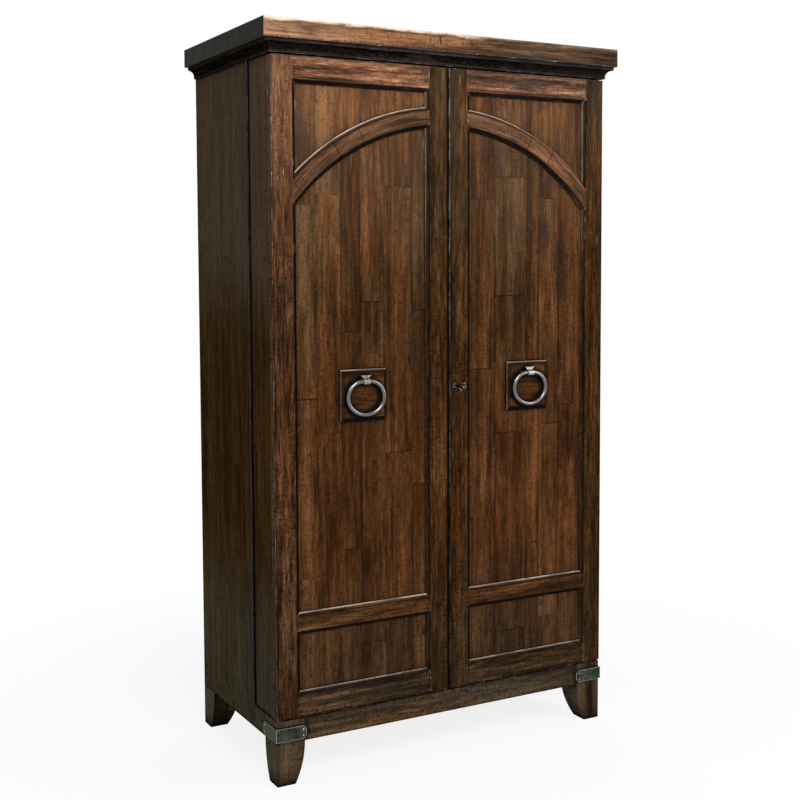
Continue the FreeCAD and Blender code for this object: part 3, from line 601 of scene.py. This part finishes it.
        # Painted shade: the corners and creases are darkened to black, where light is blocked
        colour = self.mix(self.times(self.recess, RECESS_DARKNESS * look.glaze), colour, GLAZE_AND_SHADE_BLACK)
        colour = self.mix(self.times(crease, look.glaze), colour, GLAZE_AND_SHADE_BLACK)
        if look.rims:
            rim = self.rim_of(look.rims)
            near = self.fade(rim, *CHATTER_NEAR)
            chatter = self.times(self.times(self.spots(CHATTER), look.nicks), near)
            rim = self.most(self.times(rim, RIM_DARKNESS), chatter)
            colour = self.mix(self.times(rim, look.glaze), colour, self.glazing)
        return colour

    def rim_of(self, rims):
        """1 along the rims of the board, ragged; rims gives each rim's width as a share of the board."""
        place = self.share()
        ragged = self.span(self.layer(RAGGED_RIM), *RIM_RAGGED)
        rim = 0.0
        for axis, width in rims.items():
            share = place["XYZ".index(axis.upper())]
            inward = self.math("MINIMUM", share, self.flip(share))
            near = self.fade(self.math("DIVIDE", inward, self.times(ragged, width)), 1.0, 0.0)
            if axis == "x":
                near = self.times(near, self.flip(self.sideways()))
            rim = self.most(near, rim)
        return rim

    def sloped(self, colour, rub_and_highlight):
        """Bevels: dark by the face; painted shade where they look down or right, painted highlight where up or
        left.
        """
        look = self.look
        x, y, z = self.normal()
        slanting = self.times(self.fade(y, *SLANT_EDGE), self.fade(y, *SLANT_FLAT))
        lean = self.add(self.times(z, LEAN_UP), self.times(x, -LEAN_LEFT))
        face, foot = look.bevel
        down = self.math("DIVIDE", self.minus(self.y, face), foot - face)
        # Painted highlight where a bevel leans towards the lamps, painted shade where it leans away
        lip = self.times(self.fade(lean, *LEAN_PALE), self.fade(down, *BEVEL_LIP))
        quirk = self.times(self.fade(down, *BEVEL_QUIRK), QUIRK_DARKNESS)
        dark = self.most(self.fade(lean, *LEAN_DARK), quirk)
        dark = self.times(self.times(dark, slanting), BEVEL_DARKNESS)
        colour = self.mix(dark, colour, GLAZE_AND_SHADE_BLACK)
        low_bevels = look.bevels if look.low_bevels is None else look.low_bevels
        strength = self.times(self.span(self.worn, low_bevels, look.bevels), self.span(rub_and_highlight, *BEVEL_HIGHLIGHT_PATCHES))
        return self.mix(self.times(self.times(lip, slanting), strength), colour, BEVEL_HIGHLIGHT)

    def lipped(self, colour, rub_and_highlight):
        """The cornice's narrow lips, painted with a thin grey highlight that is patchy by the rub patches."""
        low_lip, high_lip = self.look.lips
        low = self.fade(self.z, low_lip + LIP_BLUR, low_lip - LIP_BLUR)
        high = self.fade(self.z, high_lip - LIP_BLUR, high_lip + LIP_BLUR)
        lip = self.most(self.times(low, LOW_LIP_SHARE), high)
        return self.mix(self.times(lip, self.span(rub_and_highlight, *LIP_HIGHLIGHT_PATCHES)), colour, LIP_HIGHLIGHT_GREY)

    def rubbed(self, colour, rub_and_highlight):
        """Edges rubbed to the light wood, chipped pale, and pale scuffs near the top."""
        look = self.look
        edge = self.times(self.edges(*RUBBED_EDGE), rub_and_highlight)
        colour = self.mix(self.times(edge, look.wear * RUBBED_BARENESS), colour, self.palette[-1])
        strength = self.times(self.span(self.worn, *CHIPPED_SHARE), look.wear)
        chip = self.times(self.times(edge, self.spots(CHIP)), strength)
        colour = self.mix(chip, colour, PALE_NICK)
        if look.scuffs:
            scuff = self.times(self.spots(SCUFF), self.patch)
            colour = self.mix(self.times(scuff, self.times(self.worn, look.scuffs)), colour, PALE_NICK)
        return colour

    def met(self, colour, rub_and_highlight):
        """Where the doors meet: the left door's edge painted black as the gap's shade, the right arris rubbed
        grey.
        """
        # Painted shade: the left door's meeting edge is blackened as the gap's shadow
        black = self.times(self.fade(self.x, *MEETING_BLACK), self.fade(self.x, MEETING_EDGE, 0.0))
        colour = self.mix(self.times(black, MEETING_DARKNESS), colour, GLAZE_AND_SHADE_BLACK)
        arris = self.times(self.fade(self.x, 0.0, MEETING_EDGE), self.fade(self.x, *MEETING_ARRIS))
        strength = self.times(self.span(rub_and_highlight, *ARRIS_RUB), self.spots(BROKEN_ARRIS))
        worn = self.times(self.span(self.worn, *ARRIS_WORN), strength)
        return self.mix(self.times(arris, worn), colour, ARRIS_GREY)

    def crowned(self, colour):
        """The slab's upper edge, worn to bare wood."""
        ragged = self.times(self.layer(RAGGED_CROWN), CROWN_RAGGED)
        top = self.fade(self.add(self.z, ragged), *SLAB_CROWN)
        top = self.times(self.times(top, self.front), self.span(self.right, *CROWN_BARENESS))
        return self.mix(top, colour, PALE_CROWN)

    def sawn(self, colour):
        """Dull dark stain on the sawn ends of the board."""
        along = self.normal()["XYZ".index(self.axis.upper())]
        end = self.fade(self.math("ABSOLUTE", along), *SAWN_FACING)
        streaked = self.mix(self.times(self.streak, SAWN_STREAKS), END_GRAIN, GLAZE_AND_SHADE_BLACK)
        return self.mix(end, colour, streaked)

    def relief(self):
        """The scraped surface, its grain, and the marks that go below it."""
        fine = self.add(self.times(self.streak, STREAK_HEIGHT), self.times(self.fibre, FIBRE_HEIGHT))
        height = self.add(self.times(self.layer(SCRAPE), SCRAPE_HEIGHT), fine)
        for mask, darkness, depth in self.marks:
            if depth and darkness:
                height = self.minus(height, self.times(mask, depth))
        return self.bump(height, RELIEF_STRENGTH, RELIEF_DEPTH)


def wood(name, axis, palette, **look):
    board = Board(name, axis, palette, **look)
    look = board.look
    colour = board.dusted_and_sheened(board.stained())
    if look.crown:
        colour = board.slab_front_toned(colour)
    colour = board.hollowed(board.marked(colour))
    # Patches of rubbed edges, which also break up the painted highlights on the bevels and the cornice's lips
    rub_and_highlight = board.spots(RUB_AND_HIGHLIGHT)
    if look.bevels:
        colour = board.sloped(colour, rub_and_highlight)
    if look.lips:
        colour = board.lipped(colour, rub_and_highlight)
    colour = board.rubbed(colour, rub_and_highlight)
    if look.meeting:
        colour = board.met(colour, rub_and_highlight)
    if look.crown:
        colour = board.crowned(colour)
    if axis != "arch":
        colour = board.sawn(colour)
    dullness = board.add(board.times(board.streak, STREAK_DULLNESS), board.times(board.recess, RECESS_DULLNESS))
    less, more = LACQUER_RANGE
    return board.finish(Base_Color=colour, Normal=board.relief(), Specular_IOR_Level=look.gloss,
                        Roughness=board.span(dullness, look.rough + less, look.rough + more))


# Metal

# Repeats per metre of the blotches, and the shares of fine mottling and blotches in the patina
BLOTCH_SCALE = 38.0
MOTTLE_SHARE = 0.4
BLOTCH_SHARE = 0.6
# How far the metal's corners reach, and the cover between which they darken
METAL_RECESS = (0.006, 0.2, 0.8)
METAL_PATINA = 0.6
# Level of the mottling between which the patina gives way to the metal
METAL_SHOWN = (0.38, 0.66)
# Turn between which a rubbed edge shows
METAL_EDGE_TURN = (0.02, 0.10)
# Range of the roughness about the metal's own
METAL_ROUGH_RANGE = (-0.08, 0.12)
METAL_BUMP_STRENGTH = 0.25
METAL_BUMP_DEPTH = 0.0005


def metal(name, base, dark, rough, worn=None, worn_width=0.0018, grain=220.0, sides=None):
    """Cast or drawn metal: a mottled patina, dark in its hollows, rubbed bright on its edges.

    Where sides is given, it is the dull colour of the faces that look left or right.
    """
    graph = Graph(bpy.data.materials.new(name))
    point = graph.vector(*graph.place())
    mottle = graph.noise(point, (grain, grain, grain), detail=4.0, roughness=0.6)
    blotch = graph.noise(point, (BLOTCH_SCALE, BLOTCH_SCALE, BLOTCH_SCALE), detail=3.0)
    mottling = graph.add(graph.times(mottle, MOTTLE_SHARE), graph.times(blotch, BLOTCH_SHARE))
    colour = graph.mix(graph.fade(mottling, *METAL_SHOWN), dark, base)
    colour = graph.mix(graph.times(graph.hollows(*METAL_RECESS), METAL_PATINA), colour, dark)
    metallic, gloss = 1.0, 0.5
    if sides:
        dull = graph.sideways()
        colour = graph.mix(dull, colour, sides)
        metallic, gloss = graph.flip(dull), 0.0
    if worn:
        colour = graph.mix(graph.edges(worn_width, *METAL_EDGE_TURN), colour, worn)
    less, more = METAL_ROUGH_RANGE
    return graph.finish(Base_Color=colour, Roughness=graph.span(blotch, rough + less, rough + more),
                        Metallic=metallic, Specular_IOR_Level=gloss,
                        Normal=graph.bump(mottle, METAL_BUMP_STRENGTH, METAL_BUMP_DEPTH))


# Finishes

NO_FILM = (0, 0, 0)
STILE = {"axis": "z", "nicks": 0.65, "wear": 0.8, "scuffs": 0.5, "rims": {"x": 0.15, "z": 0.003},
         "bevels": 0.7, "low_bevels": 0.12, "weights": (0.16, 0.22, 0.26, 0.36), "contrast": 1.05,
         "smears": 0.4, "pale_zone": (1.55, 1.75), "low_zone": (0.60, 0.28), "film": (0.03, 0.05, 0.45),
         "gloss": 0.0}
LEFT_STILE = {**STILE, "pale_zone": (1.40, 1.62), "low_zone": (0.74, 0.46), "wear": 1.2,
              "film": (0.03, 0.0, 0.45)}
RAIL = {"axis": "x", "nicks": 0.75, "wear": 0.7, "rims": {"z": 0.13, "x": 0.025}, "speckles": 0.5}
CORNICE = {"palette": EBONY, "nicks": 0.2, "film": NO_FILM, "lips": CORNICE_LIPS}
INSIDE = {"palette": UMBER, "nicks": 0.0, "wear": 0.2, "glaze": 0.5, "contrast": 0.8, "film": NO_FILM}


def door_woods():
    return {
        "left_stile": wood("left_stile_wood", palette=RUSSET, lift=-0.022, variety=0.6, pale_lift=0.047,
                           low_lift=-0.022, **LEFT_STILE),
        "stile": wood("stile_wood", palette=UMBER, lift=-0.036, variety=1.15, pale_lift=0.05, meeting=True,
                      **STILE),
        "top_rail": wood("top_rail_wood", palette=EMBER, lift=0.005, right_drop=0.045, bevels=0.5, contrast=2.1,
                         smears=0.9, variety=0.3, right_olive=0.7, right_zone=(0.08, 0.50), **RAIL),
        "mid_rail": wood("mid_rail_wood", palette=UMBER, lift=-0.022, right_drop=0.03, bevels=0.9, contrast=1.4,
                         **RAIL),
        "low_rail": wood("low_rail_wood", palette=UMBER, lift=-0.032, right_drop=0.04, bevels=0.6, contrast=2.2,
                         film=(0, 0.12, 0), **RAIL),
        "arch": wood("arch_wood", "arch", RUSSET, nicks=0.8, wear=0.6, contrast=1.4, lift=-0.02, bevels=1.0),
        "panel": wood("panel_wood", "z", CHESTNUT, nicks=0.2, wear=0.1, tone_spread=0.055, lift=0.002,
                      pale_lift=0.07, crest_lift=0.105, contrast=0.95, scuffs=0.12, smears=0.6, cracks=0.35,
                      speckles=0.45, variety=0.75, pale_zone=(1.22, 1.50), low_zone=(0.60, 0.28),
                      right_zone=(-0.44, -0.08)),
        "plate": wood("plate_wood", "x", UMBER, nicks=0.3, wear=0.5, lift=-0.01, rims={"x": 0.1, "z": 0.1},
                      bevels=0.75, bevel=PLATE_BEVEL),
    }


def case_woods():
    return {
        "side": wood("side_wood", "z", MOSS, nicks=0.25, wear=0.3, gloss=0.0, rough=0.5, contrast=0.8,
                     smears=0.4, variety=0.3, pale_zone=(1.08, 1.40), low_zone=(0.66, 0.28),
                     film=(0.53, 0.48, 0.0), film_patches=0.3, rims={"y": 0.02, "z": 0.006}),
        "apron": wood("apron_wood", palette=UMBER, lift=0.012, right_drop=0.055, contrast=1.6,
                      film=(0, 0.3, 0), **RAIL),
        "leg": wood("leg_wood", "z", UMBER, nicks=0.6, wear=0.5, rims={"x": 0.06}, lift=0.05, right_drop=0.08,
                    film=(0, 0.32, 0.9), gloss=0.0),
        "slab": wood("slab_wood", "x", TAN, nicks=1.0, wear=0.9, rims={"z": 0.18}, contrast=1.5,
                     right_drop=0.10, right_olive=0.8, right_zone=(-0.10, 0.24), variety=0.2, film=NO_FILM,
                     crown=True),
        "cornice": wood("cornice_wood", "x", wear=0.3, gloss=0.004, **CORNICE),
        "side_cornice": wood("side_cornice_wood", "y", wear=0.2, gloss=0.0, **CORNICE),
        "inside_x": wood("inside_wood_across", "x", **INSIDE),
        "inside_y": wood("inside_wood_deep", "y", **INSIDE),
        "inside_z": wood("inside_wood_upright", "z", **INSIDE),
        "back": wood("back_wood", "z", UMBER, nicks=0.0, wear=0.1, glaze=0.5, rough=0.6, film=NO_FILM,
                     tone_spread=0.04),
    }


def metals():
    return {
        "strap": metal("strap_metal", rgb(0.070, 0.083, 0.066), rgb(0.016, 0.020, 0.016), 0.5,
                       worn=rgb(0.62, 0.56, 0.42), sides=rgb(0.095, 0.108, 0.080)),
        "nail": metal("nail_metal", rgb(0.62, 0.58, 0.46), rgb(0.25, 0.23, 0.18), 0.35),
        "ring": metal("ring_metal", rgb(0.150, 0.150, 0.155), rgb(0.130, 0.130, 0.135), 0.20, grain=60.0),
        "hanger": metal("hanger_metal", rgb(0.50, 0.48, 0.44), rgb(0.16, 0.15, 0.135), 0.28),
        "key": metal("key_metal", rgb(0.060, 0.056, 0.048), rgb(0.012, 0.011, 0.010), 0.3, grain=150.0,
                     worn=rgb(0.62, 0.59, 0.51), worn_width=0.0012),
        "escutcheon": metal("escutcheon_metal", rgb(0.035, 0.031, 0.026), rgb(0.008, 0.007, 0.006), 0.4),
        "hinge": metal("hinge_metal", rgb(0.03, 0.027, 0.024), rgb(0.008, 0.007, 0.006), 0.5),
        "rod": metal("rod_metal", rgb(0.35, 0.34, 0.31), rgb(0.16, 0.155, 0.14), 0.3),
        "lock": metal("lock_metal", rgb(0.30, 0.28, 0.25), rgb(0.10, 0.095, 0.08), 0.4),
    }


# Finishes of the pieces that come as a left and a right one, by the rest of their names
PAIR_FINISH = {
    "door_top_rail": "top_rail", "door_bottom_rail": "low_rail", "door_mid_rail": "mid_rail",
    "door_panel": "panel", "door_arch": "arch", "door_hinge_stile": "stile", "door_meeting_stile": "stile",
    "door_hinge_wall": "side", "door_meeting_wall": "side", "door_end_boards": "inside_x",
    "door_shelves": "inside_x", "door_guard_rails": "rod", "pull_plate": "plate", "ring_hanger": "hanger",
    "hinge_door_leaf": "hinge", "pull_ring": "ring", "front_leg": "leg", "side": "side",
    "cornice": "side_cornice", "corner_strap": "strap",
}
# Finishes of the others, and of the left stile, which is redder than its fellows
ONE_FINISH = {
    "left_door_hinge_stile": "left_stile", "rear_legs": "leg", "front_apron": "apron",
    "strap_nails": "nail", "bottom_board": "inside_x", "back_panel": "back", "top_board": "inside_x",
    "front_cornice": "cornice", "top_slab": "slab", "hinge_case_leaves": "hinge", "hinge_pins": "hinge",
    "bar_counter": "inside_x", "centre_divider": "inside_z", "lower_shelf": "inside_x",
    "upper_shelf": "inside_x", "wine_rack_rails": "inside_x", "stemware_rails": "inside_y",
    "lock_case": "lock", "lock_bolt": "lock", "keyhole_escutcheon": "escutcheon", "key": "key",
}
# Widths of the softened edges
SOFT_EDGE = {
    "top_slab": 0.005, "left_front_leg": 0.003, "right_front_leg": 0.003, "rear_legs": 0.003,
    "left_corner_strap": 0.0012, "right_corner_strap": 0.0012, "strap_nails": 0.0006,
}
PLAIN_EDGE = 0.0015
FINE_EDGE = 0.0004
FINE_FINISHES = ("ring", "hanger", "key", "escutcheon", "hinge", "rod", "lock")
EDGE_SEGMENTS = 3
FLAT_ANGLE = math.radians(0.5)
SHARP_ANGLE = math.radians(28)


def finish_of(name):
    if name in ONE_FINISH:
        return ONE_FINISH[name]
    return PAIR_FINISH[name.split("_", 1)[1]]


def soften(piece, width):
    """Merges the flat facets and rounds the sharp edges, as sanding and handling do."""
    flat = piece.modifiers.new("flat_faces", "DECIMATE")
    flat.decimate_type = "DISSOLVE"
    flat.angle_limit = FLAT_ANGLE
    edge = piece.modifiers.new("soft_edges", "BEVEL")
    edge.width = width
    edge.segments = EDGE_SEGMENTS
    edge.limit_method = "ANGLE"
    edge.angle_limit = SHARP_ANGLE
    edge.harden_normals = True
    edge.use_clamp_overlap = True


def dress():
    finishes = {**door_woods(), **case_woods(), **metals()}
    for name, piece in NODES.items():
        finish = finish_of(name)
        piece.data.materials.clear()
        piece.data.materials.append(finishes[finish])
        for polygon in piece.data.polygons:
            polygon.use_smooth = True
        soften(piece, SOFT_EDGE.get(name, FINE_EDGE if finish in FINE_FINISHES else PLAIN_EDGE))


# Studio

FLOOR_RADIUS = 9.0
FLOOR_SIDES = 96
FLOOR_PAPER = rgb(0.86, 0.86, 0.86)
# Distances from the middle over which the floor fades to plain white, and how white it is before them
FLOOR_FADE = (0.7, 2.0)
FLOOR_WHITENESS = 0.85
AMBIENT = 0.36
LIGHTS = (
    # name, place, aim, width, height, power
    ("key_softbox", (-0.6, -2.6, 2.75), (-0.1, -0.24, 1.45), 1.3, 1.1, 78.0),
    ("right_softbox", (2.1, -2.4, 1.7), (0.1, -0.24, 0.9), 1.0, 1.6, 35.0),
    ("left_softbox", (-2.3, -0.5, 3.1), (-0.5, 0.0, 1.7), 0.6, 0.6, 7.0),
    ("back_softbox", (1.6, 3.0, 2.4), (0.0, 0.3, 1.0), 1.6, 1.6, 50.0),
)


def studio_floor():
    """A pale floor that keeps a soft shadow and fades to white further off."""
    bpy.ops.mesh.primitive_circle_add(vertices=FLOOR_SIDES, radius=FLOOR_RADIUS, fill_type="NGON")
    floor = bpy.context.object
    floor.name = "studio_floor"
    graph = Graph(bpy.data.materials.new("floor_paper"))
    x, y, _ = graph.place()
    distance = graph.math("SQRT", graph.add(graph.times(x, x), graph.times(y, y)))
    whiteness = graph.span(graph.fade(distance, *FLOOR_FADE), FLOOR_WHITENESS, 1.0)
    paper = graph.node("ShaderNodeBsdfDiffuse", {"Color": FLOOR_PAPER}).outputs[0]
    white = graph.node("ShaderNodeEmission", {"Color": WHITE, "Strength": 1.0}).outputs[0]
    inputs = {0: graph.times(whiteness, graph.seen()), 1: paper, 2: white}
    mixed = graph.node("ShaderNodeMixShader", inputs).outputs[0]
    graph.node("ShaderNodeOutputMaterial", {"Surface": mixed})
    floor.data.materials.append(graph.owner)


def studio_world():
    """Even dim light from all round; the camera and shiny things see plain white."""
    world = bpy.data.worlds.new("studio_white")
    bpy.context.scene.world = world
    graph = Graph(world)
    inputs = {"Color": WHITE, "Strength": graph.span(graph.seen(), AMBIENT, 1.0)}
    background = graph.node("ShaderNodeBackground", inputs).outputs[0]
    graph.node("ShaderNodeOutputWorld", {"Surface": background})


def studio_lights():
    for name, place, aim, width, height, power in LIGHTS:
        light = bpy.data.lights.new(name, "AREA")
        light.shape = "RECTANGLE"
        light.size = width
        light.size_y = height
        light.energy = power
        lamp = bpy.data.objects.new(name, light)
        lamp.location = place
        lamp.rotation_euler = (Vector(aim) - Vector(place)).to_track_quat("-Z", "Y").to_euler()
        bpy.context.scene.collection.objects.link(lamp)


def camera():
    data = bpy.data.cameras.new("camera")
    data.sensor_width = CAMERA_SENSOR
    data.lens = CAMERA_LENS
    data.shift_y = CAMERA_SHIFT_Y
    level = math.cos(CAMERA_PITCH)
    forward = Vector((math.sin(CAMERA_AZIMUTH) * level, math.cos(CAMERA_AZIMUTH) * level,
                      math.sin(CAMERA_PITCH)))
    right = Vector((math.cos(CAMERA_AZIMUTH), -math.sin(CAMERA_AZIMUTH), 0.0))
    up = right.cross(forward)
    rolled_right = right * math.cos(CAMERA_ROLL) + up * math.sin(CAMERA_ROLL)
    rolled_up = up * math.cos(CAMERA_ROLL) - right * math.sin(CAMERA_ROLL)
    turn = Matrix((rolled_right, rolled_up, -forward)).transposed()
    item = bpy.data.objects.new("camera", data)
    item.matrix_world = Matrix.Translation(CAMERA_PLACE) @ turn.to_4x4()
    bpy.context.scene.collection.objects.link(item)
    bpy.context.scene.camera = item


dress()
studio_floor()
studio_world()
studio_lights()
camera()
bpy.context.scene.view_settings.view_transform = "Standard"
